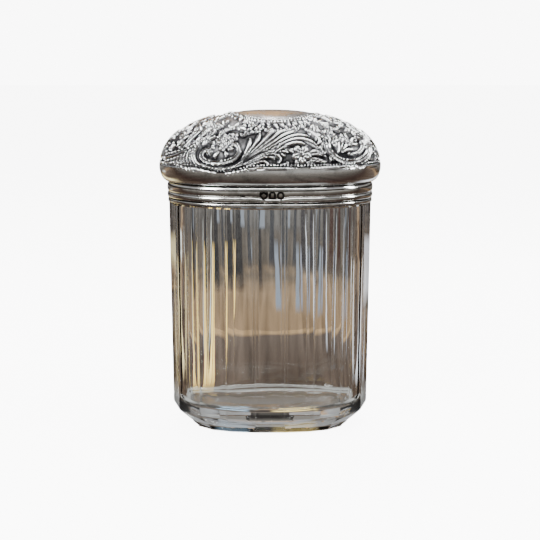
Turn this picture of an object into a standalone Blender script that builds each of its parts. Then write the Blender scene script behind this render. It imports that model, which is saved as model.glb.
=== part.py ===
"""Oval powder jar: a panel-cut glass jar with a pull-off silver lid.

Metres, +Z up, +X along the oval's long axis, the front faces -Y, and the jar stands on z = 0.
Every piece is a stack of oval rings: a ring is extruded to the next one, and the last is capped or
joined back to the first.
"""
import math

import bmesh
import bpy
import numpy

MM = 0.001

# Plan of the oval
OVAL_POWER = 2.2            # 2 is a true ellipse, and more is squarer
FACETS = 18                 # flat upright panels of even width round the jar
POINTS_PER_FACET = 3
CORNER_SAMPLES = 1441       # fineness of the measurement that spaces the corners
CLEARANCE = 0.3 * MM        # between pieces that touch or slide

# Glass jar
JAR_HALF_WIDTH = 31.3 * MM
JAR_HALF_DEPTH = 18.2 * MM
SHOULDER_HEIGHT = 72.0 * MM
WALL = 4.1 * MM
FLOOR = 8.0 * MM            # thickness of the glass under the powder
FLOOR_RADIUS = 3.4 * MM
FLOOR_STEPS = 3
NECK_HEIGHT = 5.7 * MM
NECK_EDGE = 0.7 * MM        # rounding of the neck's ground edge
CORNER_HEIGHT = 6.6 * MM    # where the panels end and the mitre under them starts
CORNER_ROUND = 0.8 * MM
FOOT_POWER = 2.6
FOOT_HEIGHT = 2.3 * MM
FOOT_TOP_INSET = 4.9 * MM
FOOT_INSET = 6.6 * MM
FOOT_EDGE = 0.5 * MM

# Lid sleeve and collar
SLEEVE_WALL = 0.4 * MM
SLEEVE_RISE = 2.0 * MM      # how far the sleeve stands up inside the dome
SLEEVE_INSET = 1.1 * MM     # from the jar's outline to the sleeve's inner wall
WIRE_HEIGHT = 1.0 * MM
WIRE_PROUD = 0.15 * MM      # beyond the jar's outline, as are the two reeds
LOWER_REED = 1.8 * MM
UPPER_REED = 2.8 * MM
REED_PROUD = 0.3 * MM
GROOVE_DEPTH = 0.45 * MM
REED_STEPS = 4

# Lid dome
DOME_SHEET = 0.5 * MM
DOME_OVERHANG = 2.6 * MM    # beyond the jar's outline at the widest place
DOME_TUCK = 4.6 * MM        # from the collar up to the widest place
DOME_RISE = 17.0 * MM       # from the widest place up to the crown
DOME_POWER = 2.25           # squareness of the crown's side view
TUCK_STEPS = 5
CROWN_STEPS = 12
CROWN_FLAT = 0.06           # share of the width where the last ring is capped

SHARP_ANGLE = math.radians(25)


def oval_point(angle, half_width, half_depth, power):
    across = math.cos(angle)
    along = math.sin(angle)
    x = half_width * math.copysign(abs(across) ** (2 / power), across)
    y = half_depth * math.copysign(abs(along) ** (2 / power), along)
    return x, y


def corner_angles():
    """Angles of the panels' corners, at even distances round the jar from half a panel off the front."""
    angles = numpy.linspace(-math.pi / 2, 3 * math.pi / 2, CORNER_SAMPLES)
    points = numpy.array([oval_point(a, JAR_HALF_WIDTH, JAR_HALF_DEPTH, OVAL_POWER) for a in angles])
    steps = numpy.linalg.norm(numpy.diff(points, axis=0), axis=1)
    along = numpy.concatenate(([0], numpy.cumsum(steps)))
    places = (numpy.arange(FACETS) + 0.5) / FACETS * along[-1]
    corners = list(numpy.interp(places, along, angles))
    return corners + [corners[0] + 2 * math.pi]


def ring(half_width, half_depth, z, power=OVAL_POWER, faceted=False):
    """Points of one oval level. The corners of a faceted ring lie on the oval."""
    corners = corner_angles()
    points = []
    for first, last in zip(corners, corners[1:]):
        for step in range(POINTS_PER_FACET):
            share = step / POINTS_PER_FACET
            if faceted:
                x0, y0 = oval_point(first, half_width, half_depth, power)
                x1, y1 = oval_point(last, half_width, half_depth, power)
                x = x0 + (x1 - x0) * share
                y = y0 + (y1 - y0) * share
            else:
                x, y = oval_point(first + share * (last - first), half_width, half_depth, power)
            points.append((x, y, z))
    return points


def jar_ring(inset, z, power=OVAL_POWER, faceted=False):
    """A ring set in from the jar's outline by the same distance all round."""
    return ring(JAR_HALF_WIDTH - inset, JAR_HALF_DEPTH - inset, z, power, faceted)


def ring_loop(mesh, verts):
    return [mesh.edges.get((verts[i - 1], verts[i])) for i in range(len(verts))]


def extruded_rings(rings):
    """A mesh skinned from ring to ring, with the verts of its first and last ring."""
    mesh = bmesh.new()
    verts = bmesh.ops.create_circle(mesh, segments=len(rings[0]), radius=1)["verts"]
    for vert, point in zip(verts, rings[0]):
        vert.co = point
    first = verts
    for level in rings[1:]:
        made = bmesh.ops.extrude_edge_only(mesh, edges=ring_loop(mesh, verts))["geom"]
        new_verts = {item for item in made if isinstance(item, bmesh.types.BMVert)}
        lifted = []
        for vert, point in zip(verts, level):
            twin = next(e.other_vert(vert) for e in vert.link_edges if e.other_vert(vert) in new_verts)
            twin.co = point
            lifted.append(twin)
        verts = lifted
    return mesh, first, verts


def add_piece(name, mesh, collection, parent, place, material):
    bmesh.ops.recalc_face_normals(mesh, faces=mesh.faces)
    data = bpy.data.meshes.new(name)
    mesh.to_mesh(data)
    mesh.free()
    data.materials.append(material)
    data.shade_smooth()
    data.set_sharp_from_angle(angle=SHARP_ANGLE)
    piece = bpy.data.objects.new(name, data)
    piece.location = (0, 0, place)
    piece.parent = parent
    collection.objects.link(piece)
    return piece


def capped_stack(rings):
    """A solid from a stack of rings, closed by a flat cap at each end."""
    mesh, first, last = extruded_rings(rings)
    mesh.faces.new(first)
    mesh.faces.new(last)
    return mesh


def closed_band(rings):
    """A hoop: the last ring is joined back to the first."""
    mesh, first, last = extruded_rings(rings)
    bmesh.ops.bridge_loops(mesh, edges=ring_loop(mesh, first) + ring_loop(mesh, last))
    return mesh


def make_material(name, colour, roughness, metallic, transmission=0.0, ior=1.5):
    material = bpy.data.materials.new(name)
    material.use_nodes = True
    shader = material.node_tree.nodes["Principled BSDF"]
    shader.inputs["Base Color"].default_value = (*colour, 1)
    shader.inputs["Roughness"].default_value = roughness
    shader.inputs["Metallic"].default_value = metallic
    shader.inputs["Transmission Weight"].default_value = transmission
    shader.inputs["IOR"].default_value = ior
    return material


def glass_jar_rings():
    """From the foot up the outside, over the neck and down to the cavity's floor."""
    neck_inset = SLEEVE_INSET + CLEARANCE
    neck_top = SHOULDER_HEIGHT + NECK_HEIGHT
    rings = [
        jar_ring(FOOT_INSET + FOOT_EDGE, 0, FOOT_POWER, True),
        jar_ring(FOOT_INSET, FOOT_EDGE, FOOT_POWER, True),
        jar_ring(FOOT_TOP_INSET, FOOT_HEIGHT, FOOT_POWER, True),
        jar_ring(CORNER_ROUND / 2, CORNER_HEIGHT - CORNER_ROUND / 2, faceted=True),
        jar_ring(0, CORNER_HEIGHT + CORNER_ROUND / 2, faceted=True),
        jar_ring(0, SHOULDER_HEIGHT, faceted=True),
        jar_ring(neck_inset, SHOULDER_HEIGHT),
        jar_ring(neck_inset, neck_top - NECK_EDGE),
        jar_ring(neck_inset + NECK_EDGE, neck_top),
        jar_ring(WALL - NECK_EDGE / 2, neck_top),
        jar_ring(WALL, neck_top - NECK_EDGE / 2),
    ]
    for step in range(FLOOR_STEPS + 1):
        turn = math.pi / 2 * step / FLOOR_STEPS
        inset = WALL + FLOOR_RADIUS * (1 - math.cos(turn))
        z = FLOOR + FLOOR_RADIUS * (1 - math.sin(turn))
        rings.append(jar_ring(inset, z))
    return rings


def reed_points(low, high, inset, proud):
    """Inset and height of a half-round reed between two grooves."""
    points = []
    for step in range(REED_STEPS + 1):
        turn = math.pi * step / REED_STEPS
        z = low + (high - low) * (1 - math.cos(turn)) / 2
        points.append((inset - (inset + proud) * math.sin(turn), z))
    return points


def sleeve_rings():
    outer = SLEEVE_INSET - SLEEVE_WALL
    top = WIRE_HEIGHT + LOWER_REED + UPPER_REED + 2 * CLEARANCE + SLEEVE_RISE
    return [
        jar_ring(outer, 0),
        jar_ring(outer, top),
        jar_ring(SLEEVE_INSET, top),
        jar_ring(SLEEVE_INSET, 0),
    ]


def rim_wire_rings():
    back = SLEEVE_INSET - SLEEVE_WALL - CLEARANCE
    rings = [jar_ring(back, WIRE_HEIGHT), jar_ring(back, 0)]
    for step in range(REED_STEPS + 1):
        turn = math.pi * step / REED_STEPS
        z = WIRE_HEIGHT * (1 - math.cos(turn)) / 2
        rings.append(jar_ring(-WIRE_PROUD * math.sin(turn), z))
    return rings


def reeded_band_rings():
    back = SLEEVE_INSET - SLEEVE_WALL - CLEARANCE
    groove = GROOVE_DEPTH - REED_PROUD
    profile = reed_points(0, LOWER_REED, groove, REED_PROUD)
    profile += reed_points(LOWER_REED, LOWER_REED + UPPER_REED, groove, REED_PROUD)[1:]
    rings = [jar_ring(back, LOWER_REED + UPPER_REED), jar_ring(back, 0)]
    rings += [jar_ring(inset, z) for inset, z in profile]
    return rings


def dome_rings():
    """The dome's outer face, from its lower edge round the tuck and over the crown."""
    edge = SLEEVE_INSET - SLEEVE_WALL - CLEARANCE
    rings = [jar_ring(edge, 0)]
    for step in range(TUCK_STEPS + 1):
        turn = math.pi / 2 * step / TUCK_STEPS
        inset = -DOME_OVERHANG * math.sin(turn)
        rings.append(jar_ring(inset, DOME_TUCK * (1 - math.cos(turn))))
    half_width = JAR_HALF_WIDTH + DOME_OVERHANG
    half_depth = JAR_HALF_DEPTH + DOME_OVERHANG
    for step in range(1, CROWN_STEPS + 1):
        turn = math.pi / 2 * step / CROWN_STEPS
        share = max(math.cos(turn) ** (2 / DOME_POWER), CROWN_FLAT)
        rise = DOME_RISE * math.sin(turn) ** (2 / DOME_POWER)
        rings.append(ring(half_width * share, half_depth * share, DOME_TUCK + rise))
    return rings


def add_dome(collection, parent, place, material):
    mesh, _, crown = extruded_rings(dome_rings())
    mesh.faces.new(crown)
    dome = add_piece("lid_dome", mesh, collection, parent, place, material)
    wall = dome.modifiers.new("sheet", "SOLIDIFY")
    wall.thickness = DOME_SHEET
    wall.offset = -1
    wall.use_even_offset = True
    return dome


def main():
    for item in list(bpy.data.objects):
        bpy.data.objects.remove(item, do_unlink=True)
    collection = bpy.data.collections.new("powder_jar")
    bpy.context.scene.collection.children.link(collection)

    glass = make_material("clear_glass", (0.93, 0.95, 0.95), 0.02, 0.0, transmission=1.0, ior=1.54)
    silver = make_material("polished_silver", (0.72, 0.71, 0.68), 0.22, 1.0)
    aged_silver = make_material("aged_silver", (0.52, 0.52, 0.50), 0.32, 1.0)
    gilt = make_material("gilt_silver", (0.78, 0.66, 0.42), 0.28, 1.0)

    add_piece("glass_jar", capped_stack(glass_jar_rings()), collection, None, 0, glass)

    lid = bpy.data.objects.new("lid_lift", None)
    lid.location = (0, 0, SHOULDER_HEIGHT + CLEARANCE)
    collection.objects.link(lid)
    band_base = WIRE_HEIGHT + CLEARANCE
    dome_base = band_base + LOWER_REED + UPPER_REED + CLEARANCE
    add_piece("lid_sleeve", closed_band(sleeve_rings()), collection, lid, 0, gilt)
    add_piece("lid_rim_wire", closed_band(rim_wire_rings()), collection, lid, 0, silver)
    add_piece("lid_reeded_band", closed_band(reeded_band_rings()), collection, lid, band_base, silver)
    add_dome(collection, lid, dome_base, aged_silver)


main()
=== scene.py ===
"""Oval dressing-table powder jar: panel-cut clear glass with a pull-off lid of stamped silver."""
import math

import bmesh
import bpy
import numpy as np
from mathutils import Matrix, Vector


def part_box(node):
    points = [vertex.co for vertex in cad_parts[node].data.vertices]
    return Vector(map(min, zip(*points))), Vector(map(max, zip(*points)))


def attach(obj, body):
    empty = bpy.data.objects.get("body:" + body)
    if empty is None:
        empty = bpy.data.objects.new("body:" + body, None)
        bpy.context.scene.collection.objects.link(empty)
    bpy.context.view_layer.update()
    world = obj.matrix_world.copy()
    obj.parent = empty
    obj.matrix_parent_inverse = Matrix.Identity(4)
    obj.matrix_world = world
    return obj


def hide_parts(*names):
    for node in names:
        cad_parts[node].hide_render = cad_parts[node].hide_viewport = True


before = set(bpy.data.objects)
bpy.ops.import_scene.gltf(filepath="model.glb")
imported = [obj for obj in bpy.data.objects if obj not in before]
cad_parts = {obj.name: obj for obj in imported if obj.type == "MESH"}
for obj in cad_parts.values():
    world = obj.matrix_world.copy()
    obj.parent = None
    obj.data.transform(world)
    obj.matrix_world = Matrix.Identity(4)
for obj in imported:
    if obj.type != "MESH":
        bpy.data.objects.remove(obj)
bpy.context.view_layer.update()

MM = 0.001


# ---- shared helpers

def deselect():
    bpy.ops.object.select_all(action="DESELECT")


def linear(code, alpha=1.0):
    """An sRGB hex colour as linear RGBA."""
    parts = [int(code[i:i + 2], 16) / 255 for i in (1, 3, 5)]
    return (*(v / 12.92 if v <= 0.04045 else ((v + 0.055) / 1.055) ** 2.4 for v in parts), alpha)


def new_material(name, **settings):
    """A new material, its node tree and its shader, whose inputs take the settings."""
    material = bpy.data.materials.new(name)
    material.use_nodes = True
    shader = material.node_tree.nodes["Principled BSDF"]
    for key, value in settings.items():
        shader.inputs[key.replace("_", " ")].default_value = value
    return material, material.node_tree, shader


def add_node(tree, kind, links=None, **settings):
    """Adds a node: settings are its properties or, where no property has the name, its inputs.

    links gives, for an input, the node and the output that it is joined to.
    """
    node = tree.nodes.new("ShaderNode" + kind)
    for key, value in settings.items():
        if hasattr(node, key):
            setattr(node, key, value)
        else:
            node.inputs[key.replace("_", " ")].default_value = value
    for key, (source, output) in (links or {}).items():
        tree.links.new(source.outputs[output], node.inputs[key])
    return node


def set_ramp(node, *stops):
    """Stops are a place from 0 to 1 and a hex colour."""
    ramp = node.color_ramp
    while len(ramp.elements) < len(stops):
        ramp.elements.new(0.5)
    for element, (place, code) in zip(ramp.elements, stops):
        element.position = place
        element.color = linear(code)


# ---- sizes

jar_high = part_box("glass_jar")[1]
wire_low, wire_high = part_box("lid_rim_wire")
band_low, band_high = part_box("lid_reeded_band")
sleeve_low, sleeve_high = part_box("lid_sleeve")
dome_low, dome_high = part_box("lid_dome")

OVAL_POWER = 2.2                    # squareness of the plan
PANELS = 18                         # flat panels of even width round the glass
CORNER_HALF_WIDTH = 31.3 * MM       # the oval that the panels' corners lie on
CORNER_HALF_DEPTH = 18.2 * MM
CLEARANCE = 0.3 * MM                # between pieces that touch
SHOULDER = wire_low.z - CLEARANCE
SLEEVE_INSET = CORNER_HALF_WIDTH - sleeve_high.x + 0.4 * MM


def oval(angle, half_width, half_depth, power=OVAL_POWER):
    """A point of the oval; the angle starts at the front and grows towards +X."""
    across = math.sin(angle)
    along = -math.cos(angle)
    x = half_width * math.copysign(abs(across) ** (2 / power), across)
    y = half_depth * math.copysign(abs(along) ** (2 / power), along)
    return x, y


# ---- rings made by hand-style extrusion

def start_ring(name, points):
    deselect()
    bpy.ops.mesh.primitive_circle_add(vertices=len(points), radius=1, location=(0, 0, 0))
    piece = bpy.context.object
    piece.name = name
    piece.data.name = name
    slots = piece.data.attributes.new("slot", "INT", "POINT")
    slots.data.foreach_set("value", list(range(len(points))))
    bpy.ops.object.mode_set(mode="EDIT")
    bpy.ops.mesh.select_all(action="SELECT")
    place_selected(piece, points)
    return piece


def place_selected(piece, points):
    mesh = bmesh.from_edit_mesh(piece.data)
    slot = mesh.verts.layers.int["slot"]
    for vert in mesh.verts:
        if vert.select:
            vert.co = points[vert[slot]]
    bmesh.update_edit_mesh(piece.data)


def extrude_to(piece, points):
    bpy.ops.mesh.extrude_edges_move()
    place_selected(piece, points)


def leave_edit_mode():
    """Turns every face outwards first."""
    bpy.ops.mesh.select_all(action="SELECT")
    bpy.ops.mesh.normals_make_consistent(inside=False)
    bpy.ops.object.mode_set(mode="OBJECT")


def finish_ring(piece, smooth_angle=30):
    leave_edit_mode()
    bpy.ops.object.shade_smooth_by_angle(angle=math.radians(smooth_angle))
    return piece


def select_open_edges():
    bpy.ops.mesh.select_all(action="DESELECT")
    bpy.ops.mesh.select_non_manifold()


def stack(name, rings, hoop=False, smooth_angle=30):
    """A solid extruded from ring to ring, capped at its ends or, for a hoop, joined end to end."""
    piece = start_ring(name, rings[0])
    if not hoop:
        bpy.ops.mesh.edge_face_add()
        select_open_edges()
    for points in rings[1:]:
        extrude_to(piece, points)
    if hoop:
        select_open_edges()
        bpy.ops.mesh.bridge_edge_loops()
    else:
        bpy.ops.mesh.edge_face_add()
    return finish_ring(piece, smooth_angle)


# ---- materials

def clear_glass(name="cut_crystal_glass", haze=0.0):
    """Cut and fire-polished lead crystal: colourless, bright-edged, with faint wipe marks."""
    material, tree, shader = new_material(name, Base_Color=linear("#fbfcfb"), Transmission_Weight=1.0,
                                          IOR=1.54)
    place = add_node(tree, "TexCoord")
    wipes = add_node(tree, "TexNoise", {"Vector": (place, "Object")}, Scale=90.0, Detail=4.0)
    rough = add_node(tree, "MapRange", {"Value": (wipes, "Fac")},
                     From_Min=0.45, From_Max=0.8, To_Min=haze, To_Max=haze + 0.035)
    tree.links.new(rough.outputs["Result"], shader.inputs["Roughness"])
    ripple = add_node(tree, "TexNoise", {"Vector": (place, "Object")}, Scale=160.0, Detail=1.0)
    bump = add_node(tree, "Bump", {"Height": (ripple, "Fac")}, Strength=0.05, Distance=0.0004)
    tree.links.new(bump.outputs["Normal"], shader.inputs["Normal"])
    return material


def polished_silver(name="polished_sterling_silver", bright="#e4e4e1", dull="#a3a19c", rough=0.08):
    """Old polished silver: bright, softly scratched by cloths, greyer where tarnish starts."""
    material, tree, shader = new_material(name, Metallic=1.0)
    place = add_node(tree, "TexCoord")
    patches = add_node(tree, "TexNoise", {"Vector": (place, "Object")},
                       Scale=110.0, Detail=5.0, Roughness=0.6)
    colour = add_node(tree, "ValToRGB", {"Fac": (patches, "Fac")})
    set_ramp(colour, (0.38, dull), (0.55, bright))
    tree.links.new(colour.outputs["Color"], shader.inputs["Base Color"])
    gloss = add_node(tree, "MapRange", {"Value": (patches, "Fac")},
                     From_Min=0.3, From_Max=0.7, To_Min=rough + 0.14, To_Max=rough)
    tree.links.new(gloss.outputs["Result"], shader.inputs["Roughness"])
    scratches = add_node(tree, "TexNoise", {"Vector": (place, "Object")},
                         Scale=1400.0, Detail=3.0)
    bump = add_node(tree, "Bump", {"Height": (scratches, "Fac")},
                    Strength=0.12, Distance=0.00005)
    tree.links.new(bump.outputs["Normal"], shader.inputs["Normal"])
    return material


def stamped_silver():
    """Die-stamped silver: burnished high places, black sulphide left in the matted recesses."""
    material, tree, shader = new_material("stamped_oxidised_silver", Metallic=1.0)
    place = add_node(tree, "TexCoord")
    relief = add_node(tree, "Attribute", attribute_name="relief")
    patina = add_node(tree, "TexNoise", {"Vector": (place, "Object")},
                      Scale=260.0, Detail=6.0, Roughness=0.65)
    shift = add_node(tree, "MapRange", {"Value": (patina, "Fac")},
                     From_Min=0.3, From_Max=0.7, To_Min=-0.16, To_Max=0.16)
    level = add_node(tree, "Math", {0: (relief, "Fac"), 1: (shift, "Result")},
                     operation="ADD")
    colour = add_node(tree, "ValToRGB", {"Fac": (level, "Value")})
    set_ramp(colour, (0.0, "#19191b"), (0.22, "#5c5c5d"),
                      (0.44, "#a3a5a6"), (0.75, "#e6e7e6"))
    tree.links.new(colour.outputs["Color"], shader.inputs["Base Color"])
    gloss = add_node(tree, "MapRange", {"Value": (level, "Value")},
                     From_Min=0.1, From_Max=0.6, To_Min=0.46, To_Max=0.17)
    tree.links.new(gloss.outputs["Result"], shader.inputs["Roughness"])
    mat_dots = add_node(tree, "TexVoronoi", {"Vector": (place, "Object")}, Scale=2600.0)
    low_only = add_node(tree, "MapRange", {"Value": (relief, "Fac")},
                        From_Min=0.12, From_Max=0.4, To_Min=0.55, To_Max=0.03)
    bump = add_node(tree, "Bump",
                    {"Height": (mat_dots, "Distance"), "Strength": (low_only, "Result")},
                    Distance=0.00008)
    tree.links.new(bump.outputs["Normal"], shader.inputs["Normal"])
    return material


glass_finish = clear_glass()
arris_finish = clear_glass("worn_glass_arris", 0.22)
silver_finish = polished_silver()
stamped_finish = stamped_silver()
gilt_finish = polished_silver("worn_silver_gilt", "#e8cf93", "#b89a66", 0.24)
# near-black silver: painted shade on the sleeve's outer face where it shows through the gaps in the collar,
# and tarnish in the hollows of the punch marks
seam_shade_and_tarnish_finish = polished_silver("tarnish_and_painted_seam_shade", "#35322e", "#1d1b19", 0.4)


# ---- glass jar

PANEL_SHARES = (0.018, 0.11, 0.2, 0.3, 0.4, 0.5, 0.6, 0.7, 0.8, 0.89, 0.982)
WALL = 4.1 * MM
FLOOR = 8.0 * MM
FLOOR_RADIUS = 3.4 * MM
FOOT_POWER = 2.6


def corner_angles():
    """Angles of the panels' corners, evenly spaced round the jar from half a panel off the front."""
    fine = np.linspace(0, 2 * math.pi, 1441)
    points = np.array([oval(angle, CORNER_HALF_WIDTH, CORNER_HALF_DEPTH) for angle in fine])
    along = np.concatenate([[0], np.cumsum(np.linalg.norm(np.diff(points, axis=0), axis=1))])
    places = (np.arange(PANELS) - 0.5) / PANELS * along[-1]
    corners = list(np.interp(places % along[-1], along, fine))
    corners[0] -= 2 * math.pi
    return corners + [corners[0] + 2 * math.pi]


CORNERS = corner_angles()


def glass_ring(inset, z, power=OVAL_POWER, faceted=False, ripple=0.0):
    """A level of the jar. The strips between neighbouring panels are their ground and polished arrises."""
    points = []
    for first, last in zip(CORNERS, CORNERS[1:]):
        for share in PANEL_SHARES:
            angle = first + share * (last - first)
            waves = (math.sin(5 * angle + 0.55 * z / MM) + 0.6 * math.sin(11 * angle + 1.3)
                     + 0.5 * math.sin(3 * angle - 0.09 * z / MM))
            shrink = inset + ripple * waves / 2
            half_width = CORNER_HALF_WIDTH - shrink
            half_depth = CORNER_HALF_DEPTH - shrink
            if faceted:
                x0, y0 = oval(first, half_width, half_depth, power)
                x1, y1 = oval(last, half_width, half_depth, power)
                x, y = x0 + (x1 - x0) * share, y0 + (y1 - y0) * share
            else:
                x, y = oval(angle, half_width, half_depth, power)
            points.append((x, y, z))
    return points


def sharpen_panels(jar):
    """Keeps the panels flat right up to the strips between them."""
    mesh = jar.data
    count = len(mesh.vertices)
    places = np.empty(count * 3)
    mesh.vertices.foreach_get("co", places)
    x, y, z = np.abs(places.reshape(-1, 3)).T
    share = (x / CORNER_HALF_WIDTH) ** OVAL_POWER + (y / CORNER_HALF_DEPTH) ** OVAL_POWER
    outside = (z <= SHOULDER + 1e-6) & ((z < FLOOR - 0.7 * MM) | (share > 0.9))
    slots = np.empty(count, int)
    mesh.attributes["slot"].data.foreach_get("value", slots)
    step = slots % len(PANEL_SHARES)
    rim = outside & ((step == 0) | (step == len(PANEL_SHARES) - 1))
    ends = np.empty(len(mesh.edges) * 2, int)
    mesh.edges.foreach_get("vertices", ends)
    a, b = ends.reshape(-1, 2).T
    crisp = rim[a] & rim[b] & (slots[a] == slots[b])
    sharp = mesh.attributes.get("sharp_edge") or mesh.attributes.new("sharp_edge", "BOOLEAN", "EDGE")
    kept = np.empty(len(mesh.edges), bool)
    sharp.data.foreach_get("value", kept)
    sharp.data.foreach_set("value", kept | crisp)
    for face in mesh.polygons:
        steps = {int(step[v]) for v in face.vertices}
        if steps == {0, len(PANEL_SHARES) - 1} and all(outside[v] for v in face.vertices):
            face.material_index = 1


def build_glass():
    neck = SLEEVE_INSET + CLEARANCE
    top = jar_high.z
    rings = [
        glass_ring(7.1 * MM, 0, FOOT_POWER, True),
        glass_ring(6.75 * MM, 0.12 * MM, FOOT_POWER, True),
        glass_ring(6.6 * MM, 0.5 * MM, FOOT_POWER, True),
        glass_ring(5.0 * MM, 2.15 * MM, FOOT_POWER, True),
        glass_ring(4.8 * MM, 2.45 * MM, 2.5, True),
        glass_ring(0.55 * MM, 6.1 * MM, faceted=True),
        glass_ring(0.12 * MM, 6.6 * MM, faceted=True),
        glass_ring(0, 7.1 * MM, faceted=True),
        glass_ring(0, SHOULDER - 0.3 * MM, faceted=True),
        glass_ring(0.3 * MM, SHOULDER, faceted=True),
        glass_ring(neck, SHOULDER),
        glass_ring(neck, top - 0.7 * MM),
        glass_ring(neck + 0.2 * MM, top - 0.2 * MM),
        glass_ring(neck + 0.7 * MM, top),
        glass_ring(WALL - 0.5 * MM, top),
        glass_ring(WALL - 0.1 * MM, top - 0.2 * MM),
        glass_ring(WALL, top - 0.7 * MM),
    ]
    inner_rise = 14
    for step in range(1, inner_rise):
        z = top - 0.7 * MM + (FLOOR + FLOOR_RADIUS - top) * step / inner_rise
        rings.append(glass_ring(WALL, z, ripple=0.12 * MM))
    for step in range(7):
        turn = math.pi / 2 * step / 6
        rings.append(glass_ring(WALL + FLOOR_RADIUS * (1 - math.cos(turn)),
                                FLOOR + FLOOR_RADIUS * (1 - math.sin(turn)), ripple=0.2 * MM))
    for inset in (7.9, 8.6, 9.5, 10.6, 11.8, 12.8, 13.6):
        level = glass_ring(inset * MM, FLOOR)
        rings.append([(x, y, z + 0.16 * MM * (math.sin(x / MM * 0.75) + math.sin(y / MM * 1.1 + inset)))
                      for x, y, z in level])
    jar = stack("cut_glass_jar", rings, smooth_angle=16)
    sharpen_panels(jar)
    jar.data.materials.append(glass_finish)
    jar.data.materials.append(arris_finish)
    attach(jar, "jar")
    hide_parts("glass_jar")


# ---- collar

COLLAR_STEPS = 360
MARKS_CENTRE = 0.8 * MM
MARK_DEPTH = 0.28 * MM
SMALL_MARK = -8.6 * MM              # place of the small oval mark along the front


def collar_ring(inset, z, sag=1.0, pressed=0.0):
    """A ring of the lid's collar, a little out of true from wear, and pressed down at the marks."""
    points = []
    for step in range(COLLAR_STEPS):
        angle = 2 * math.pi * (step + 0.5) / COLLAR_STEPS
        x, y = oval(angle, CORNER_HALF_WIDTH - inset, CORNER_HALF_DEPTH - inset)
        lean = 0.05 * MM * sag * (math.sin(3 * angle + 0.7) + math.sin(7 * angle + 2.1))
        if y < 0:
            lean -= pressed * math.exp(-((x - MARKS_CENTRE) / (4.2 * MM)) ** 4)
        points.append((x, y, z + lean))
    return points


def reed(low, high, groove, proud, steps=10):
    profile = []
    for step in range(steps + 1):
        turn = math.pi * step / steps
        z = low + (high - low) * (1 - math.cos(turn)) / 2
        profile.append((groove - (groove + proud) * math.sin(turn) ** 0.8, z))
    return profile


def prism(name, outline, place, depth):
    """A small upright outline drawn out through the front of the collar."""
    deselect()
    bpy.ops.mesh.primitive_circle_add(vertices=len(outline), radius=1)
    punch = bpy.context.object
    punch.name = name
    x0, z0 = place
    front = -CORNER_HALF_DEPTH * (1 - abs(x0 / CORNER_HALF_WIDTH) ** OVAL_POWER) ** (1 / OVAL_POWER)
    bpy.ops.object.mode_set(mode="EDIT")
    mesh = bmesh.from_edit_mesh(punch.data)
    for vert, (x, z) in zip(mesh.verts, outline):
        vert.co = (x0 + x * MM, front - 1.5 * MM, z0 + z * MM)
    bmesh.update_edit_mesh(punch.data)
    bpy.ops.mesh.select_all(action="SELECT")
    bpy.ops.mesh.edge_face_add()
    bpy.ops.mesh.extrude_region_move(TRANSFORM_OT_translate={"value": (0, 1.5 * MM + depth, 0)})
    leave_edit_mode()
    punch.data.materials.append(seam_shade_and_tarnish_finish)
    return punch


def carve(piece, tool):
    cut = piece.modifiers.new("cut", "BOOLEAN")
    cut.object = tool
    cut.operation = "DIFFERENCE"
    cut.solver = "EXACT"
    cut.material_mode = "TRANSFER"
    deselect()
    bpy.context.view_layer.objects.active = piece
    piece.select_set(True)
    bpy.ops.object.modifier_apply(modifier="cut")
    bpy.data.objects.remove(tool)


def ellipse(wide, tall, count):
    turns = np.linspace(0, 2 * math.pi, count + 1)[:-1]
    return [(wide * math.cos(turn), tall * math.sin(turn)) for turn in turns]


def punch_marks(band, split):
    """Three shield punches and a small oval one, each left blank but for a plain raised shape."""
    level = split + 0.5 * MM
    shield = [(-1.12, 0.35), (-1.02, 0.95), (-0.55, 0.8), (0, 1.02), (0.55, 0.8), (1.02, 0.95),
              (1.12, 0.35), (1.0, -0.35), (0.6, -0.85), (0, -1.1), (-0.6, -0.85), (-1.0, -0.35)]
    arch = [(-0.95, -0.95), (0.95, -0.95), (0.95, 0.35), (0.6, 0.85), (0, 1.05), (-0.6, 0.85),
            (-0.95, 0.35)]
    lozenge = [(0.72, 0), (0, 0.62), (-0.72, 0), (0, -0.72)]
    bar = [(-0.4, -0.6), (0.4, -0.6), (0.4, 0.62), (-0.4, 0.62)]
    marks = ((-2.6, shield, lozenge), (-0.1, arch, bar),
             (2.3, ellipse(1.0, 1.05, 16), ellipse(0.56, 0.6, 12)))
    for offset, outline, raised in marks:
        place = (MARKS_CENTRE + offset * MM, level)
        punch = prism("punch", [(x * 1.14, z * 1.2) for x, z in outline], place, MARK_DEPTH)
        carve(punch, prism("raised", raised, place, 3 * MM))
        carve(band, punch)
    level -= 0.1 * MM
    small = ellipse(1.25, 0.62, 20)
    ring = prism("punch", [(x * 1.1, z * 1.15) for x, z in small], (SMALL_MARK, level), 0.12 * MM)
    carve(ring, prism("raised", small, (SMALL_MARK, level), 3 * MM))
    carve(band, ring)
    dash = [(-0.16, -0.3), (0.16, -0.3), (0.16, 0.3), (-0.16, 0.3)]
    for offset in (-0.6, 0.05, 0.65):
        carve(band, prism("dash", dash, (SMALL_MARK + offset * MM, level), 0.3 * MM))


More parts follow.
